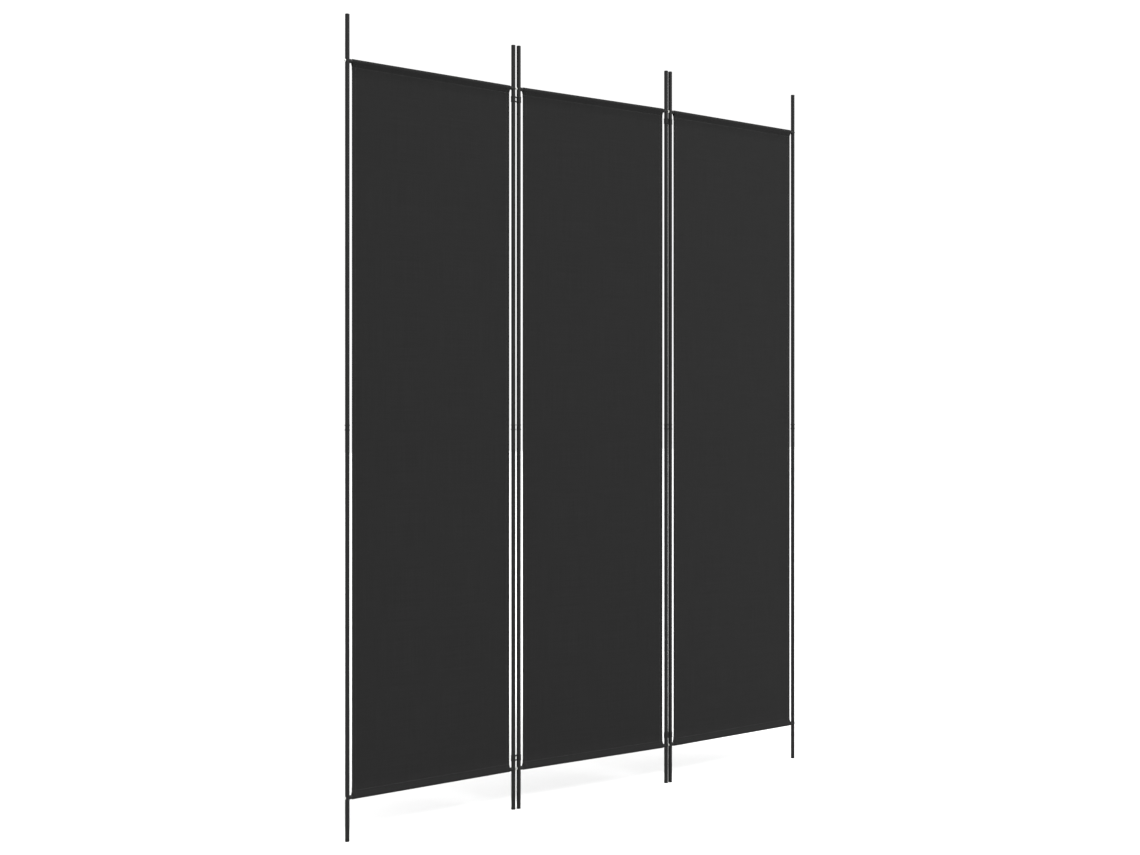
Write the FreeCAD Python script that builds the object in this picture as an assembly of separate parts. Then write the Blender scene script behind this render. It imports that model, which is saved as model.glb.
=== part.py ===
"""Three-panel folding room divider screen: bolted steel-tube frames, sleeved fabric panels, linking clips.

The screen stands almost straight, with just enough zigzag to stand up. X runs along the middle panel,
Y through its thickness and Z up. The origin is on the floor, under the middle of the middle panel.
Sizes are in millimetres, and angles in degrees.
"""
import FreeCAD, Part
import math
import os

# ---- overall size ----
HEIGHT = 2000.0  # floor to the top of the post caps
OVERALL_WIDTH = 1500.0  # opened out straight, outer side of the first post to outer side of the last

REST_FOLD = 3.0  # each outer panel's turn from the middle panel's plane
CLIP_TURN = {"left": -3.0, "right": 7.0}  # each pair's clips' turn from that plane, at rest

# ---- posts: two lengths of tube joined at mid-height ----
POST_D = 11.0
POST_WALL = 0.8
PAIR_GAP = 5.0  # between the neighbouring posts of two panels

# ---- rails: a tube across the top and one across the bottom of each panel ----
RAIL_D = 10.0
RAIL_WALL = 0.8
TOP_RAIL_DROP = 113.0  # rail centre below the top of the posts
BOTTOM_RAIL_RISE = 105.5  # rail centre above the floor

# ---- plastic pieces in the tube ends ----
PLUG_CLEARANCE = 0.05  # radial, between a plug and the tube that it is pushed into
TOP_CAP_HEIGHT = 3.0
FOOT_CAP_HEIGHT = 4.0
CAP_SPIGOT = 14.0
TOP_CAP_ROUNDING = 1.0
FOOT_CAP_ROUNDING = 0.5
SADDLE_THICKNESS = 1.5  # rail end to post, at the thinnest
RAIL_PLUG_LENGTH = 24.0

# ---- couplers at mid-height ----
COUPLER_BAND = 14.0  # the part that shows between the two tubes
COUPLER_SPIGOT = 45.0
COUPLER_WALL = 1.8
RIDGE_HEIGHT = 2.5
RIDGE_PROUD = 1.0
RIDGE_ROUNDING = 0.4

# ---- screws that hold the rails to the posts ----
SCREW_D = 4.0
SCREW_HOLE_CLEARANCE = 0.15
SCREW_GRIP = 18.0  # length in the rail plug
HEAD_D = 7.0
HEAD_HEIGHT = 1.6
HEAD_EDGE = 0.6
RECESS_WIDTH = 0.9
RECESS_SPAN = 3.6
RECESS_DEPTH = 0.9

# ---- linking clips: two rings round neighbouring posts ----
CLIP_CLEARANCE = 0.05  # radial, so that the posts turn in the rings
CLIP_HEIGHT = 14.0
CLIP_WALL = 0.8
RIM_HEIGHT = 2.5
RIM_PROUD = 0.3
WEB_THICKNESS = 4.0
WINDOW_WIDTH = 10.0  # along Y, of the opening in each ring that faces its neighbour
CLIP_OFFSET = 28.5  # clip centre from the nearer rail's centre, towards mid-height

# ---- fabric ----
FABRIC = 0.8
SIDE_GAP = 7.0  # fabric edge to post
SLEEVE_CLEARANCE = 0.3  # round the rail
SLEEVE_TAIL = 7.0  # from the rail's sleeve to the seam that closes it

# ---- worked out from the sizes above ----
POST_R = POST_D / 2
RAIL_R = RAIL_D / 2
PAIR_PITCH = POST_D + PAIR_GAP
PANEL_PITCH = (OVERALL_WIDTH - POST_D - 2 * PAIR_PITCH) / 3  # post centre to post centre in a panel
TOP_RAIL_Z = HEIGHT - TOP_RAIL_DROP
BOTTOM_RAIL_Z = BOTTOM_RAIL_RISE
COUPLER_Z = HEIGHT / 2
POST_BORE_R = POST_R - POST_WALL
RAIL_BORE_R = RAIL_R - RAIL_WALL
FABRIC_WIDTH = PANEL_PITCH - POST_D - 2 * SIDE_GAP
PANEL_CENTRES = {
    "left": -PANEL_PITCH - PAIR_PITCH,
    "middle": 0.0,
    "right": PANEL_PITCH + PAIR_PITCH,
}
SIDES = {"left": -1, "right": 1}

UP = FreeCAD.Vector(0, 0, 1)


def rod(radius, low, high, x=0.0):
    """A solid upright cylinder on the axis at x, from z = low to z = high."""
    return Part.makeCylinder(radius, high - low, FreeCAD.Vector(x, 0, low), UP)


def cross_rod(radius, start, end, z):
    """A solid cylinder along X, from x = start to x = end, at height z."""
    low, high = min(start, end), max(start, end)
    return Part.makeCylinder(radius, high - low, FreeCAD.Vector(low, 0, z), FreeCAD.Vector(1, 0, 0))


def rounded_edges(solid, radius, height):
    """The solid with the level edges at one height rounded."""
    hair = 1e-6
    edges = []
    for edge in solid.Edges:
        box = edge.BoundBox
        if abs(box.ZMin - height) < hair and abs(box.ZMax - height) < hair:
            edges.append(edge)
    return solid.makeFillet(radius, edges)


def post_tube(x, low, high, rail_z):
    """One length of post tube, with the screw's hole through both its walls."""
    tube = rod(POST_R, low, high, x).cut(rod(POST_BORE_R, low, high, x))
    hole_r = SCREW_D / 2 + SCREW_HOLE_CLEARANCE
    return tube.cut(cross_rod(hole_r, x - POST_D, x + POST_D, rail_z))


def end_cap(x, crown, rounding, seat, spigot_end):
    """A push-in cap: a disc as wide as the post, from z = crown to the tube's end at seat, and a spigot."""
    disc = rounded_edges(rod(POST_R, min(crown, seat), max(crown, seat), x), rounding, crown)
    spigot = rod(POST_BORE_R - PLUG_CLEARANCE, min(seat, spigot_end), max(seat, spigot_end), x)
    return disc.fuse(spigot)


def top_cap(x):
    seat = HEIGHT - TOP_CAP_HEIGHT
    return end_cap(x, HEIGHT, TOP_CAP_ROUNDING, seat, seat - CAP_SPIGOT)


def foot_cap(x):
    return end_cap(x, 0.0, FOOT_CAP_ROUNDING, FOOT_CAP_HEIGHT, FOOT_CAP_HEIGHT + CAP_SPIGOT)


def coupler(x):
    """The moulded joint between a post's two tubes: a ridged band and a hollow spigot each way."""
    band_low = COUPLER_Z - COUPLER_BAND / 2
    band_high = COUPLER_Z + COUPLER_BAND / 2
    spigot_r = POST_BORE_R - PLUG_CLEARANCE
    body = rod(POST_R, band_low, band_high, x)
    for low in (band_low, band_high - RIDGE_HEIGHT):
        ridge = rod(POST_R + RIDGE_PROUD, low, low + RIDGE_HEIGHT, x)
        ridge = rounded_edges(ridge, RIDGE_ROUNDING, low)
        body = body.fuse(rounded_edges(ridge, RIDGE_ROUNDING, low + RIDGE_HEIGHT))
    low, high = band_low - COUPLER_SPIGOT, band_high + COUPLER_SPIGOT
    body = body.fuse(rod(spigot_r, low, high, x))
    return body.cut(rod(spigot_r - COUPLER_WALL, low, high, x)).removeSplitter()


def rail(centre, z):
    """A rail tube, cut square a saddle's thickness from each post."""
    half = PANEL_PITCH / 2 - POST_R - SADDLE_THICKNESS
    return cross_rod(RAIL_R, centre - half, centre + half, z).cut(
        cross_rod(RAIL_BORE_R, centre - half, centre + half, z)
    )


def rail_plug(post_x, inward, z):
    """The plug in a rail's end: a saddle against the post, a body in the rail and the screw's hole."""
    rail_end = post_x + inward * (POST_R + SADDLE_THICKNESS)
    saddle = cross_rod(RAIL_R, post_x, rail_end, z).cut(rod(POST_R, z - RAIL_D, z + RAIL_D, post_x))
    body = cross_rod(RAIL_BORE_R - PLUG_CLEARANCE, rail_end, rail_end + inward * RAIL_PLUG_LENGTH, z)
    tip = post_x + inward * (POST_R + SADDLE_THICKNESS + SCREW_GRIP)
    return saddle.fuse(body).cut(cross_rod(SCREW_D / 2, post_x, tip, z)).removeSplitter()


def screw(post_x, inward, z):
    """A pan-head screw from a post's outer side, through the post and into the rail's plug."""
    outline = Part.Wire(
        [
            Part.makeLine((0, 0, 0), (HEAD_D / 2, 0, 0)),
            Part.makeLine((HEAD_D / 2, 0, 0), (HEAD_D / 2, 0, HEAD_EDGE)),
            dome_edge(),
            Part.makeLine((0, 0, HEAD_HEIGHT), (0, 0, 0)),
        ]
    )
    head = Part.Face(outline).revolve(FreeCAD.Vector(0, 0, 0), UP, 360)
    slot_base = HEAD_HEIGHT - RECESS_DEPTH
    for length, width in ((RECESS_SPAN, RECESS_WIDTH), (RECESS_WIDTH, RECESS_SPAN)):
        corner = FreeCAD.Vector(-length / 2, -width / 2, slot_base)
        head = head.cut(Part.makeBox(length, width, HEAD_HEIGHT, corner))
    head.rotate(FreeCAD.Vector(0, 0, 0), FreeCAD.Vector(0, 1, 0), -90 * inward)
    seat = post_x - inward * POST_R
    head.translate(FreeCAD.Vector(seat, 0, z))
    tip = post_x + inward * (POST_R + SADDLE_THICKNESS + SCREW_GRIP)
    return head.fuse(cross_rod(SCREW_D / 2, seat, tip, z)).removeSplitter()


def dome_edge():
    """The arc over a screw's head, from its edge to its middle."""
    rise = HEAD_HEIGHT - HEAD_EDGE
    radius = (HEAD_D**2 / 4 + rise**2) / (2 * rise)
    half_angle = math.asin(HEAD_D / 2 / radius) / 2
    fall = radius * (1 - math.cos(half_angle))
    middle = FreeCAD.Vector(radius * math.sin(half_angle), 0, HEAD_HEIGHT - fall)
    start = FreeCAD.Vector(HEAD_D / 2, 0, HEAD_EDGE)
    return Part.Arc(start, middle, FreeCAD.Vector(0, 0, HEAD_HEIGHT)).toShape()


def sleeve_outline(rail_z, away, radius, tail_y, tail):
    """A sleeve's outline from its tail's +Y side, round the rail and back, as a list of edges.

    away is 1 where the sleeve closes below the rail, and -1 where it closes above it.
    """
    distance = math.hypot(tail_y, tail)
    turn = math.atan2(tail, tail_y) - math.acos(radius / distance)
    touch_y, touch_z = radius * math.cos(turn), rail_z - away * radius * math.sin(turn)
    tail_z = rail_z - away * tail
    crown = FreeCAD.Vector(0, 0, rail_z) + FreeCAD.Vector(0, 0, away * radius)
    left, right = FreeCAD.Vector(0, -touch_y, touch_z), FreeCAD.Vector(0, touch_y, touch_z)
    return [
        Part.makeLine(FreeCAD.Vector(0, tail_y, tail_z), right),
        Part.Arc(right, crown, left).toShape(),
        Part.makeLine(left, FreeCAD.Vector(0, -tail_y, tail_z)),
    ]


def fabric(centre):
    """A panel's cloth: a flat sheet with a sleeve round each rail, drawn tight between them."""
    inner = RAIL_R + SLEEVE_CLEARANCE
    outer = inner + FABRIC
    tail = outer + SLEEVE_TAIL
    half = FABRIC / 2
    edges = sleeve_outline(TOP_RAIL_Z, 1, outer, half, tail)
    edges += sleeve_outline(BOTTOM_RAIL_Z, -1, outer, half, tail)
    for y in (half, -half):
        top = FreeCAD.Vector(0, y, TOP_RAIL_Z - tail)
        bottom = FreeCAD.Vector(0, y, BOTTOM_RAIL_Z + tail)
        edges.append(Part.makeLine(top, bottom))
    profile = Part.Face(Part.Wire(Part.__sortEdges__(edges)))
    for rail_z, away in ((TOP_RAIL_Z, 1), (BOTTOM_RAIL_Z, -1)):
        loop = sleeve_outline(rail_z, away, inner, 0.0, tail - FABRIC)
        profile = profile.cut(Part.Face(Part.Wire(loop)))
    profile.translate(FreeCAD.Vector(centre - FABRIC_WIDTH / 2, 0, 0))
    return profile.extrude(FreeCAD.Vector(FABRIC_WIDTH, 0, 0))


def clip(first_x, z):
    """A moulded link: a rimmed ring round each of two neighbouring posts, with a web between each two rims.

    Between its rims each ring has a window, towards the other ring.
    """
    low, high = z - CLIP_HEIGHT / 2, z + CLIP_HEIGHT / 2
    bore_r = POST_R + CLIP_CLEARANCE
    ring_r = bore_r + CLIP_WALL
    centres = (first_x, first_x + PAIR_PITCH)
    body = rod(ring_r, low, high, centres[0]).fuse(rod(ring_r, low, high, centres[1]))
    corner = FreeCAD.Vector(first_x, -WINDOW_WIDTH / 2, low)
    body = body.cut(Part.makeBox(PAIR_PITCH, WINDOW_WIDTH, CLIP_HEIGHT, corner))
    for rim_low in (low, high - RIM_HEIGHT):
        corner = FreeCAD.Vector(first_x, -WEB_THICKNESS / 2, rim_low)
        body = body.fuse(Part.makeBox(PAIR_PITCH, WEB_THICKNESS, RIM_HEIGHT, corner))
        for x in centres:
            body = body.fuse(rod(ring_r + RIM_PROUD, rim_low, rim_low + RIM_HEIGHT, x))
    for x in centres:
        body = body.cut(rod(bore_r, low, high, x))
    return body.removeSplitter()


def turned(shape, side, with_panel):
    """The clips of one side, or with_panel its outer panel, turned from straight to the rest pose.

    A clip turns about the middle panel's post, and the outer panel also turns about its own post.
    Both outer panels come to stand a little behind the middle one.
    """
    if side == "middle":
        return shape
    middle_post = SIDES[side] * PANEL_PITCH / 2
    outer_post = middle_post + SIDES[side] * PAIR_PITCH
    if with_panel:
        shape.rotate(FreeCAD.Vector(outer_post, 0, 0), UP, REST_FOLD - CLIP_TURN[side])
    shape.rotate(FreeCAD.Vector(middle_post, 0, 0), UP, CLIP_TURN[side])
    return shape


def save(name, solids, side, with_panel=True):
    """Write one node, in its place at rest: a solid, or several separate like solids."""
    shape = solids[0] if len(solids) == 1 else Part.makeCompound(solids)
    shape = turned(shape, side, with_panel)
    shape.exportStep(f"parts/{name}.step")
    print(name, "solids", len(shape.Solids), "valid", shape.isValid())


def make_panel(panel, centre):
    plugs, screws = [], []
    band_low, band_high = COUPLER_Z - COUPLER_BAND / 2, COUPLER_Z + COUPLER_BAND / 2
    for side, sign in SIDES.items():
        x = centre + sign * PANEL_PITCH / 2
        post = f"{panel}_panel_{side}_post"
        save(f"{post}_foot_cap", [foot_cap(x)], panel)
        save(f"{post}_lower_tube", [post_tube(x, FOOT_CAP_HEIGHT, band_low, BOTTOM_RAIL_Z)], panel)
        save(f"{post}_coupler", [coupler(x)], panel)
        save(f"{post}_upper_tube", [post_tube(x, band_high, HEIGHT - TOP_CAP_HEIGHT, TOP_RAIL_Z)], panel)
        save(f"{post}_top_cap", [top_cap(x)], panel)
        for z in (BOTTOM_RAIL_Z, TOP_RAIL_Z):
            plugs.append(rail_plug(x, -sign, z))
            screws.append(screw(x, -sign, z))
    save(f"{panel}_panel_bottom_rail", [rail(centre, BOTTOM_RAIL_Z)], panel)
    save(f"{panel}_panel_top_rail", [rail(centre, TOP_RAIL_Z)], panel)
    save(f"{panel}_panel_rail_end_plugs", plugs, panel)
    save(f"{panel}_panel_rail_screws", screws, panel)
    save(f"{panel}_panel_fabric", [fabric(centre)], panel)


def make_clips(side, left_panel):
    """The two clips that join left_panel to its neighbour on the right."""
    first_x = PANEL_CENTRES[left_panel] + PANEL_PITCH / 2
    save(f"{side}_pair_bottom_clip", [clip(first_x, BOTTOM_RAIL_Z + CLIP_OFFSET)], side, with_panel=False)
    save(f"{side}_pair_top_clip", [clip(first_x, TOP_RAIL_Z - CLIP_OFFSET)], side, with_panel=False)


os.makedirs("parts", exist_ok=True)
for panel_name, panel_centre in PANEL_CENTRES.items():
    make_panel(panel_name, panel_centre)
make_clips("left", "left")
make_clips("right", "middle")
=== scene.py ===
"""A three-panel folding screen: bolted tube frames, cloths sleeved over the rails, and linking clips."""
import math

import bmesh
import bpy
from mathutils import Matrix, Vector, noise


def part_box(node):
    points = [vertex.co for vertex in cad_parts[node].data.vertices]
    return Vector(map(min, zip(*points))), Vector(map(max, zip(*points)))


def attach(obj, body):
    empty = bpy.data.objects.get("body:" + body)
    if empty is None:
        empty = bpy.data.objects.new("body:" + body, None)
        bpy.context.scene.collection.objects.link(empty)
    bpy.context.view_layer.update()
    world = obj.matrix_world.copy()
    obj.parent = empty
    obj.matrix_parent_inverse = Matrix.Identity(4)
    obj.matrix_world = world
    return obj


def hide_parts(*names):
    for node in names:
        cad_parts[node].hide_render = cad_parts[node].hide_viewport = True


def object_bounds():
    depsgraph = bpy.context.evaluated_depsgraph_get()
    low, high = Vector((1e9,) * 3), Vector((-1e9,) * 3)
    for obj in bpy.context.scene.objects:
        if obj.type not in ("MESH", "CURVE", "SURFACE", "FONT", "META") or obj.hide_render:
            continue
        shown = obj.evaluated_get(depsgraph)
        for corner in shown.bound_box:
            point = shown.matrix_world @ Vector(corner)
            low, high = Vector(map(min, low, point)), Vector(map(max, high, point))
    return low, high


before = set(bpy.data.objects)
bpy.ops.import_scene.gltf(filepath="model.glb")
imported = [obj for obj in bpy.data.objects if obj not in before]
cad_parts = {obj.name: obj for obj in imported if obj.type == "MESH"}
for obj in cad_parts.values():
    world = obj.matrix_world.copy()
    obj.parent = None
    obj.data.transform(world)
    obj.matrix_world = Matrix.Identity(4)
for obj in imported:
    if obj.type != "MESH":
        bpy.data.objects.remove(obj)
cad_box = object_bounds()


# ---- Posts and rails ----
# Thin round steel tube, cut square, drilled for the screws and powder coated near black. Each post is two
# lengths of tube. The powder melts into a satin skin with a fine orange peel.

MM = 0.001
PANELS = ("left", "middle", "right")
SIDES = ("left", "right")


def srgb(code):
    """A hex colour as linear red, green and blue, and an alpha of 1."""
    shares = [int(code[i:i + 2], 16) / 255 for i in (1, 3, 5)]
    return [c / 12.92 if c <= 0.04045 else ((c + 0.055) / 1.055) ** 2.4 for c in shares] + [1.0]


def add_node(tree, kind, settings=None, inputs=None):
    """Adds a node, sets its properties, and sets or links its inputs."""
    node = tree.nodes.new(kind)
    for name, value in (settings or {}).items():
        setattr(node, name, value)
    for name, value in (inputs or {}).items():
        if isinstance(value, bpy.types.NodeSocket):
            tree.links.new(value, node.inputs[name])
        else:
            node.inputs[name].default_value = value
    return node


def mottle(tree, place, width, detail):
    """A noise whose blotches are about as wide as said, in metres. Gives its 0 to 1 output."""
    return add_node(tree, "ShaderNodeTexNoise", None,
                    {"Vector": place, "Scale": 1 / width, "Detail": detail}).outputs["Fac"]


def between(tree, share, low, high):
    """A number that goes from low to high as a share goes from 0 to 1."""
    return add_node(tree, "ShaderNodeMapRange", None,
                    {"Value": share, "To Min": low, "To Max": high}).outputs["Result"]


def blend_colours(tree, share, first, second):
    """A colour that goes from the first to the second as a share goes from 0 to 1."""
    color_a, color_b, color_out = 6, 7, 2  # the Mix node's sockets for colours
    mix = add_node(tree, "ShaderNodeMix", {"data_type": "RGBA"},
                   {"Factor": share, color_a: srgb(first), color_b: srgb(second)})
    return mix.outputs[color_out]


def relief(tree, height, strength, depth):
    """Normals for a surface that stands up and down by a depth, in metres."""
    return add_node(tree, "ShaderNodeBump", None,
                    {"Height": height, "Strength": strength, "Distance": depth}).outputs["Normal"]


def new_material(name):
    """A material, its node tree and its main shader."""
    material = bpy.data.materials.new(name)
    material.use_nodes = True
    return material, material.node_tree, material.node_tree.nodes["Principled BSDF"]


def powder_coated_steel():
    """Thermoset powder baked on steel: a satin dark skin, faintly pebbled, with duller specks."""
    material, tree, skin = new_material("powder_coated_steel")
    peel_width, peel_depth = 1.4 * MM, 0.03 * MM
    speck_width, batch_width = 0.35 * MM, 90 * MM
    place = add_node(tree, "ShaderNodeTexCoord").outputs["Object"]
    # Near black, a shade lighter in long patches where the coat is thicker.
    tone = blend_colours(tree, mottle(tree, place, batch_width, 2.0), "#0e0e0e", "#121212")
    # Satin, with fine specks of pigment that break up the highlight along the tube.
    dullness = between(tree, mottle(tree, place, speck_width, 3.0), 0.42, 0.56)
    # Shallow orange peel, which makes the highlight's edge waver from near.
    peel = relief(tree, mottle(tree, place, peel_width, 1.0), 0.2, peel_depth)
    tree.links.new(tone, skin.inputs["Base Color"])
    tree.links.new(dullness, skin.inputs["Roughness"])
    tree.links.new(peel, skin.inputs["Normal"])
    skin.inputs["Specular IOR Level"].default_value = 0.15  # a weak gloss: the coat stays dark at its edges
    return material


def paint(nodes, material):
    """Gives the CAD nodes their finish."""
    for name in nodes:
        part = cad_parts[name]
        for holder in part.material_slots:
            holder.material = material


steel = powder_coated_steel()
for panel in PANELS:
    paint([f"{panel}_panel_{side}_post_{length}_tube" for side in SIDES for length in ("lower", "upper")],
          steel)
    paint([f"{panel}_panel_bottom_rail", f"{panel}_panel_top_rail"], steel)


# ---- Caps, couplers and rail end plugs ----
# Black polypropylene mouldings, pushed into the tube ends by hand. Their mould was spark eroded, which leaves
# an even fine grain, duller than the steel beside it.

def moulded_polypropylene():
    """Black polypropylene from a spark-eroded mould: dull, even and slightly waxy."""
    material, tree, skin = new_material("moulded_polypropylene")
    grain_width, grain_depth, flow_width = 0.45 * MM, 0.04 * MM, 11 * MM
    place = add_node(tree, "ShaderNodeTexCoord").outputs["Object"]
    # Black, with the cloudy flow marks of the melt.
    tone = blend_colours(tree, mottle(tree, place, flow_width, 2.0), "#0b0b0b", "#101010")
    # The mould's grain: it scatters the light, so the plastic looks duller than the tube.
    grain = mottle(tree, place, grain_width, 2.0)
    tree.links.new(tone, skin.inputs["Base Color"])
    tree.links.new(between(tree, grain, 0.5, 0.66), skin.inputs["Roughness"])
    tree.links.new(relief(tree, grain, 0.5, grain_depth), skin.inputs["Normal"])
    skin.inputs["Specular IOR Level"].default_value = 0.15
    return material


plastic = moulded_polypropylene()
for panel in PANELS:
    for side in SIDES:
        paint([f"{panel}_panel_{side}_post_{piece}" for piece in ("foot_cap", "coupler", "top_cap")],
              plastic)
    paint([f"{panel}_panel_rail_end_plugs"], plastic)


# ---- Screws ----
# Zinc-plated steel pan heads with a cross recess, driven through each post into its rail's plug. They are the
# only bright pieces of the screen.

def zinc_plated_steel():
    """Bright zinc over cold-headed steel: pale grey metal with a faint blue and straw passivation."""
    material, tree, metal = new_material("zinc_plated_steel")
    tint_width, scuff_width = 2.5 * MM, 0.25 * MM
    place = add_node(tree, "ShaderNodeTexCoord").outputs["Object"]
    # Passivation: one side of a head is a little bluer than the other.
    tone = blend_colours(tree, mottle(tree, place, tint_width, 2.0), "#c4cbd1", "#d0cbbd")
    # Scuffs from the driver and the tumbling barrel, which soften the glint.
    dullness = between(tree, mottle(tree, place, scuff_width, 3.0), 0.22, 0.42)
    tree.links.new(tone, metal.inputs["Base Color"])
    tree.links.new(dullness, metal.inputs["Roughness"])
    metal.inputs["Metallic"].default_value = 1.0
    return material


paint([f"{panel}_panel_rail_screws" for panel in PANELS], zinc_plated_steel())


# ---- Cloth panels ----
# Plain-woven polyester, cut to a rectangle. Its sides are folded twice to the back and hemmed, and each end
# goes round a rail and is sewn down behind, which makes the sleeve. The frame then draws it tight.

LAYER = 0.25 * MM  # one thickness of cloth
HEM = 12 * MM  # the hem's finished width
TAIL = 8 * MM  # sleeve cloth below the seam, behind the panel
SEAM_TO_RAIL = 13.1 * MM  # seam to the rail's centre
RAIL_SLACK = 0.1 * MM  # between the sleeve's inside and the rail
TAIL_SET_BACK = 5.2 * LAYER  # tail's middle behind the panel's: both their hems lie between

rail_low, rail_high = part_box("middle_panel_top_rail")
rail_radius = (rail_high.z - rail_low.z) / 2
top_rail_z = (rail_low.z + rail_high.z) / 2
rail_low, rail_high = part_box("middle_panel_bottom_rail")
bottom_rail_z = (rail_low.z + rail_high.z) / 2
cloth_low, cloth_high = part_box("middle_panel_fabric")
cloth_width = cloth_high.x - cloth_low.x
rail_middle_z = (top_rail_z + bottom_rail_z) / 2
half_rails = (top_rail_z - bottom_rail_z) / 2

# The sleeve's path: seam, straight to the rail, round it, straight to the seam's back, and down the tail.
loop_radius = rail_radius + RAIL_SLACK + 2.5 * LAYER
seam_out = half_rails - SEAM_TO_RAIL
front_turn = math.acos(loop_radius / SEAM_TO_RAIL)
front_run = math.sqrt(SEAM_TO_RAIL**2 - loop_radius**2)
back_reach = math.hypot(TAIL_SET_BACK, SEAM_TO_RAIL)
back_turn = math.atan2(TAIL_SET_BACK, SEAM_TO_RAIL) + math.acos(loop_radius / back_reach)
back_run = math.sqrt(back_reach**2 - loop_radius**2)
wrap_run = loop_radius * (2 * math.pi - front_turn - back_turn)
tail_out = seam_out + front_run + wrap_run + back_run
half_length = tail_out + TAIL


def round_rail(angle):
    """The sleeve's point at an angle about the rail: 0 is towards the screen's middle, minus to the front."""
    return Vector((loop_radius * math.sin(angle), -loop_radius * math.cos(angle)))


def sleeve_point(run):
    """Where the cloth's middle is, as (through, out from the rail's centre), after a run from the seam."""
    seam, seam_back = Vector((0.0, -SEAM_TO_RAIL)), Vector((TAIL_SET_BACK, -SEAM_TO_RAIL))
    if run < front_run:
        return seam.lerp(round_rail(-front_turn), run / front_run)
    run -= front_run
    if run < wrap_run:
        return round_rail(-front_turn - run / loop_radius)
    run -= wrap_run
    if run < back_run:
        return round_rail(back_turn).lerp(seam_back, run / back_run)
    return seam_back - Vector((0.0, run - back_run))


def cloth_point(distance):
    """The same for any distance along the cloth from its middle, as (through, height above the middle)."""
    if distance <= seam_out:
        return Vector((0.0, distance))
    point = sleeve_point(distance - seam_out)
    return Vector((point.x, half_rails + point.y))


def hang(verts):
    """Moves flat cloth, x across, y along and z through, to where it is round the rails."""
    reach = 0.2 * MM  # along the cloth either way, for its direction
    for vert in verts:
        across, along, through = vert.co
        end = 1.0 if along > 0 else -1.0
        point = cloth_point(abs(along))
        way = (cloth_point(abs(along) + reach) - cloth_point(abs(along) - reach)).normalized()
        inward = Vector((way.y, -way.x))
        point = point + inward * (through - LAYER / 2)
        vert.co = Vector((across, point.x, rail_middle_z + end * point.y))


def cut_across(flat, place, direction):
    """Divides flat cloth along a line."""
    bmesh.ops.bisect_plane(flat, geom=flat.verts[:] + flat.edges[:] + flat.faces[:], dist=1e-7,
                           plane_co=place, plane_no=direction)


def move_verts(source, made, way):
    """Moves the points of what an operator has just made."""
    points = [part for part in made["geom"] if isinstance(part, bmesh.types.BMVert)]
    bmesh.ops.translate(source, verts=points, vec=way)


def raise_faces(flat, faces, height, hollow):
    """Extrudes faces of the cloth's back by a height. Hollow takes away the faces that end up inside."""
    move_verts(flat, bmesh.ops.extrude_face_region(flat, geom=faces), (0, 0, height))
    if hollow:
        inside = [face for face in faces if face.is_valid]
        bmesh.ops.delete(flat, geom=inside, context="FACES")


def hemmed_cloth():
    """The cloth flat on a table: cut, hemmed down both sides, and marked out for the sleeves."""
    flat = bmesh.new()
    bmesh.ops.create_grid(flat, x_segments=1, y_segments=1, size=0.5)
    bmesh.ops.scale(flat, verts=flat.verts, vec=(cloth_width, 2 * half_length, 1))
    edge, inner = cloth_width / 2, cloth_width / 2 - HEM
    columns, rows, sleeve_rows = 22, 64, 44
    for step in range(columns + 1):
        cut_across(flat, (-inner + 2 * inner * step / columns, 0, 0), (1, 0, 0))
    for step in range(rows + 1):
        cut_across(flat, (0, -seam_out + 2 * seam_out * step / rows, 0), (0, 1, 0))
    for step in range(1, sleeve_rows):
        along = seam_out + (half_length - seam_out) * step / sleeve_rows
        cut_across(flat, (0, along, 0), (0, 1, 0))
        cut_across(flat, (0, -along, 0), (0, 1, 0))
    raise_faces(flat, flat.faces[:], LAYER, hollow=False)
    hair = MM / 100  # closer than this is the same place
    hems = []
    for face in flat.faces:
        middle = face.calc_center_median()
        if middle.z > LAYER - hair and abs(middle.x) > inner:
            hems.append(face)
    raise_faces(flat, hems, 2 * LAYER, hollow=True)
    bmesh.ops.remove_doubles(flat, verts=flat.verts, dist=hair / 10)
    bmesh.ops.recalc_face_normals(flat, faces=flat.faces)
    folds, square = [], 1.0  # radians: more than this is one of a side's two square edges
    for line in flat.edges:
        first, second = line.verts[0].co, line.verts[1].co
        at_side = min(abs(first.x), abs(second.x)) > edge - hair
        if at_side and line.calc_face_angle(0) > square and abs(first.y - second.y) > hair:
            folds.append(line)
    bmesh.ops.bevel(flat, geom=folds, offset=1.3 * LAYER, segments=3, profile=0.5,
                    affect="EDGES", material=-1)
    return flat


STITCH, STITCH_GAP = 2.6 * MM, 0.6 * MM
THREAD = 0.32 * MM  # thickness
HEM_ROW = 2 * MM  # hem's stitching, in from its fold
SEAM_ROW = 1.5 * MM  # sleeve's stitching, in from the seam, and every row's end from the cloth's


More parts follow.
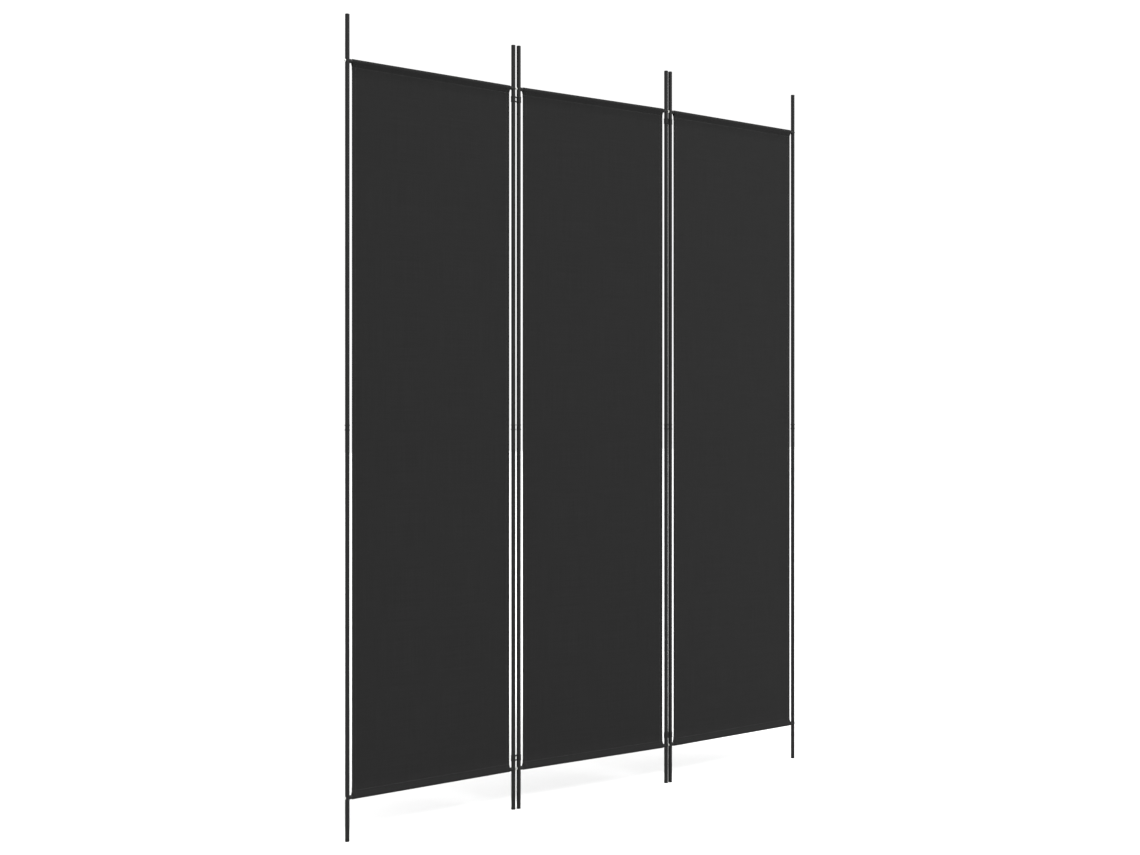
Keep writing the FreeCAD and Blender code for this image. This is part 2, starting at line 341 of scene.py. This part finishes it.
def sew(thread, start, end):
    """One row of lockstitch on flat cloth from start to end: a bead of thread, doubled up along the row."""
    start, end, pitch = Vector(start), Vector(end), STITCH + STITCH_GAP
    way = (end - start).normalized()
    count = int((end - start).length / pitch)
    lie = way.to_track_quat("Z", "Y").to_matrix().to_4x4()
    bead = Matrix.Diagonal((THREAD, THREAD, STITCH, 1.0))
    row = bmesh.new()
    bmesh.ops.create_uvsphere(row, u_segments=6, v_segments=4, radius=0.5,
                              matrix=Matrix.Translation(start + way * pitch / 2) @ lie @ bead)
    beads = 1
    while beads < count:
        copy = bmesh.ops.duplicate(row, geom=row.verts[:] + row.edges[:] + row.faces[:])
        move_verts(row, copy, way * pitch * beads)
        beads *= 2
    surplus = [vert for vert in row.verts if (vert.co - start).dot(way) > count * pitch]
    bmesh.ops.delete(row, geom=surplus, context="VERTS")
    holder = bpy.data.meshes.new("row_of_stitches")
    row.to_mesh(holder)
    row.free()
    thread.from_mesh(holder)
    bpy.data.meshes.remove(holder)


def seams():
    """All the stitching of one cloth, flat: both hems, and the seam that closes each sleeve."""
    thread = bmesh.new()
    front, hem_back = -THREAD / 4, 3 * LAYER + THREAD / 4
    hem_line = cloth_width / 2 - HEM + HEM_ROW
    row_end, long_end, short_end = cloth_width / 2 - SEAM_ROW, half_length - SEAM_ROW, seam_out - HEM_ROW
    for side in (-hem_line, hem_line):
        sew(thread, (side, -long_end, front), (side, long_end, front))
        sew(thread, (side, -short_end, hem_back), (side, short_end, hem_back))
    for out in (seam_out - SEAM_ROW, tail_out + SEAM_ROW):
        for along in (-out, out):
            sew(thread, (-row_end, along, front), (row_end, along, front))
    return thread


def woven_polyester():
    """Dark plain-woven polyester: matt, with a soft sheen at a slant and slightly uneven threads."""
    material, tree, cloth = new_material("woven_polyester")
    thread_pitch = 0.9 * MM  # twice the real cloth's, so that the weave shows close to
    thread_depth = 0.12 * MM
    slub_width, slub_length = 2.2 * MM, 160 * MM
    place = add_node(tree, "ShaderNodeUVMap", {"uv_map": "cut"}).outputs["UV"]
    # Plain weave: threads lengthways and crossways take turns on top, square by square.
    # A wave texture's band is 0.1 pi units wide, so this gives one band to each thread.
    band = 0.1 * math.pi / thread_pitch
    warp = add_node(tree, "ShaderNodeTexWave", {"bands_direction": "X"}, {"Vector": place, "Scale": band})
    weft = add_node(tree, "ShaderNodeTexWave", {"bands_direction": "Y"}, {"Vector": place, "Scale": band})
    over = add_node(tree, "ShaderNodeTexChecker", None, {"Vector": place, "Scale": 1 / thread_pitch})
    number_a, number_b, number_out = 2, 3, 0  # the Mix node's sockets for numbers
    weave = add_node(tree, "ShaderNodeMix", {"data_type": "FLOAT"},
                     {"Factor": over.outputs["Fac"], number_a: warp.outputs["Fac"],
                      number_b: weft.outputs["Fac"]}).outputs[number_out]
    # Slubs: long thicker stretches of thread both ways, which streak the cloth very faintly.
    slubs = []
    for scale in ((1 / slub_width, 1 / slub_length, 1), (1 / slub_length, 1 / slub_width, 1)):
        along_threads = add_node(tree, "ShaderNodeMapping", None, {"Vector": place, "Scale": scale})
        slubs.append(mottle(tree, along_threads.outputs["Vector"], 1.0, 3.0))
    both = add_node(tree, "ShaderNodeMath", {"operation": "ADD"}, {0: slubs[0], 1: slubs[1]})
    # The weave's part of the colour is painted shade: darker in the grooves between threads and lighter on
    # their crowns. The slubs add the threads' own uneven tone.
    groove_shade_share = 0.35
    groove_shade_and_slub_tone = add_node(tree, "ShaderNodeMath", {"operation": "MULTIPLY_ADD"},
                     {0: weave, 1: groove_shade_share, 2: both.outputs["Value"]})
    depth = add_node(tree, "ShaderNodeMapRange", None,
                     {"Value": groove_shade_and_slub_tone.outputs["Value"], "From Min": 0.6, "From Max": 1.75})
    tone = blend_colours(tree, depth.outputs["Result"], "#111111", "#191919")
    tree.links.new(tone, cloth.inputs["Base Color"])
    tree.links.new(relief(tree, weave, 0.4, thread_depth), cloth.inputs["Normal"])
    # Matt, with hardly a gloss, and a trace of fuzz that lightens it when seen at a slant.
    cloth.inputs["Roughness"].default_value = 0.85
    cloth.inputs["IOR"].default_value = 1.45
    cloth.inputs["Specular IOR Level"].default_value = 0.1
    cloth.inputs["Sheen Weight"].default_value = 0.02
    cloth.inputs["Sheen Roughness"].default_value = 0.5
    return material


def polyester_thread():
    """Spun polyester sewing thread: two plies laid round each other, a little paler than the cloth."""
    material, tree, thread = new_material("polyester_thread")
    ply_length = 0.8 * MM
    place = add_node(tree, "ShaderNodeTexCoord").outputs["Object"]
    # The plies' turns, light and dark along each stitch: a painted highlight on each ply's crown and painted
    # shade in the groove between plies.
    ply = add_node(tree, "ShaderNodeTexWave", {"bands_direction": "DIAGONAL"},
                   {"Vector": place, "Scale": 0.1 * math.pi / ply_length, "Distortion": 0.4})
    tone = blend_colours(tree, ply.outputs["Fac"], "#1f1f1f", "#2d2d2d")
    tree.links.new(tone, thread.inputs["Base Color"])
    thread.inputs["Roughness"].default_value = 0.6
    thread.inputs["Sheen Weight"].default_value = 0.1
    return material


def panel_place(panel):
    """A panel's matrix: from its own upright plane, with its middle at x = 0, to its place at rest."""
    feet = []
    for side in SIDES:
        low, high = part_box(f"{panel}_panel_{side}_post_lower_tube")
        feet.append(Vector(((low.x + high.x) / 2, (low.y + high.y) / 2, 0.0)))
    across = feet[1] - feet[0]
    turn = math.atan2(across.y, across.x)
    return Matrix.Translation((feet[0] + feet[1]) / 2) @ Matrix.Rotation(turn, 4, "Z")


def mesh_from(source, name):
    """A mesh of a bmesh, smooth but for its sharp folds."""
    sharp = math.radians(50)
    mesh = bpy.data.meshes.new(name)
    source.to_mesh(mesh)
    for face in mesh.polygons:
        face.use_smooth = True
    mesh.set_sharp_from_angle(angle=sharp)
    return mesh


def ease(mesh, seed):
    """Lets tight cloth lie a hair uneven between its sleeves, differently on each panel."""
    swell, wave = 0.5 * MM, 280 * MM
    for vert in mesh.vertices:
        height = (vert.co.z - rail_middle_z) / seam_out
        if abs(height) < 1:
            give = (1 - height**2) * swell
            vert.co.y += give * noise.noise(Vector((vert.co.x / wave, vert.co.z / wave, seed)))


flat_cloth, flat_thread = hemmed_cloth(), seams()
cut_map = flat_cloth.loops.layers.uv.new("cut")
for face in flat_cloth.faces:
    for corner in face.loops:
        corner[cut_map].uv = corner.vert.co.xy
for sewn in (flat_cloth, flat_thread):
    hang(sewn.verts)
    sewn.normal_update()
    bmesh.ops.recalc_face_normals(sewn, faces=sewn.faces)
cloth_finish, thread_finish = woven_polyester(), polyester_thread()

parts = ((flat_cloth, "cloth", cloth_finish), (flat_thread, "stitching", thread_finish))
PANEL_SEED = 3.7  # between one panel's unevenness and the next's

for number, panel in enumerate(PANELS):
    for source, part, finish in parts:
        mesh = mesh_from(source, f"{panel}_panel_{part}")
        mesh.materials.append(finish)
        ease(mesh, PANEL_SEED * number)
        mesh.transform(panel_place(panel))
        piece = bpy.data.objects.new(f"{panel}_panel_{part}", mesh)
        bpy.context.scene.collection.objects.link(piece)
        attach(piece, f"{panel}_panel")
    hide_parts(f"{panel}_panel_fabric")
flat_cloth.free()
flat_thread.free()


# ---- Linking clips ----
# One-piece mouldings of the same black plastic. Each has two rimmed rings that snap round neighbouring posts,
# so that a panel can swing about its post.

for pair in SIDES:
    paint([f"{pair}_pair_bottom_clip", f"{pair}_pair_top_clip"], plastic)


# ---- Studio ----
# A plain pale floor that runs on to the horizon, a white dome that is brighter overhead, and one large soft
# lamp high up in front, so that the screen stands with hardly a shadow.

def matt_floor_paint():
    """Pale floor paint: matt, with a very faint mottle from the roller."""
    material, tree, skin = new_material("matt_floor_paint")
    roller_width = 250 * MM
    place = add_node(tree, "ShaderNodeTexCoord").outputs["Object"]
    tone = blend_colours(tree, mottle(tree, place, roller_width, 3.0), "#c9c9c9", "#cdcdcd")
    tree.links.new(tone, skin.inputs["Base Color"])
    skin.inputs["Roughness"].default_value = 0.9
    skin.inputs["Specular IOR Level"].default_value = 0.1
    return material


FLOOR_REACH = 40  # metres each way
floor_shape = bmesh.new()
bmesh.ops.create_grid(floor_shape, x_segments=1, y_segments=1, size=FLOOR_REACH)
floor_mesh = bpy.data.meshes.new("studio_floor")
floor_shape.to_mesh(floor_mesh)
floor_shape.free()
floor_mesh.materials.append(matt_floor_paint())
floor = bpy.data.objects.new("studio_floor", floor_mesh)
bpy.context.scene.collection.objects.link(floor)


def soft_lamp(name, place, aim, width, watts):
    """A square soft box that faces a point."""
    lamp = bpy.data.lights.new(name, "AREA")
    lamp.shape, lamp.size, lamp.energy = "SQUARE", width, watts
    holder = bpy.data.objects.new(name, lamp)
    holder.location = place
    holder.rotation_euler = (Vector(aim) - Vector(place)).to_track_quat("-Z", "Y").to_euler()
    bpy.context.scene.collection.objects.link(holder)


LAMP_PLACE, LAMP_WIDTH, LAMP_WATTS = (5.0, -13.0, 14.5), 7.0, 3600
screen_middle = (cad_box[0] + cad_box[1]) / 2
soft_lamp("front_lamp", LAMP_PLACE, screen_middle, LAMP_WIDTH, LAMP_WATTS)

HORIZON, ZENITH = 1.06, 3.4  # the white dome's brightness
HORIZON_BAND = 0.25  # sine of the height up to which the dome is as bright as at the horizon
world = bpy.data.worlds.new("white_dome")
world.use_nodes = True
dome = world.node_tree
facing = add_node(dome, "ShaderNodeTexCoord").outputs["Generated"]
rise = add_node(dome, "ShaderNodeSeparateXYZ", None, {"Vector": facing})
glow = add_node(dome, "ShaderNodeMapRange", None,
                {"Value": rise.outputs["Z"], "From Min": HORIZON_BAND, "To Min": HORIZON, "To Max": ZENITH})
dome.nodes["Background"].inputs["Color"].default_value = (1.0, 1.0, 1.0, 1.0)
dome.links.new(glow.outputs["Result"], dome.nodes["Background"].inputs["Strength"])
bpy.context.scene.world = world
bpy.context.scene.view_settings.view_transform = "Standard"


# ---- Camera ----
# Level, at half the screen's height, out in front and to the left, so that the screen runs away to the right.

LENS, FILM_WIDTH, FILM_SHIFT = 45.59, 36.0, -0.0049
CAMERA_PLACE, LEVEL, TURN_RIGHT = (-2.22717, -3.22788, 1.01385), math.radians(90), math.radians(33.617)
camera_data = bpy.data.cameras.new("camera")
camera_data.lens, camera_data.sensor_width = LENS, FILM_WIDTH
camera_data.shift_y = FILM_SHIFT
camera = bpy.data.objects.new("camera", camera_data)
camera.location = CAMERA_PLACE
camera.rotation_euler = (LEVEL, 0, -TURN_RIGHT)
bpy.context.scene.collection.objects.link(camera)
bpy.context.scene.camera = camera
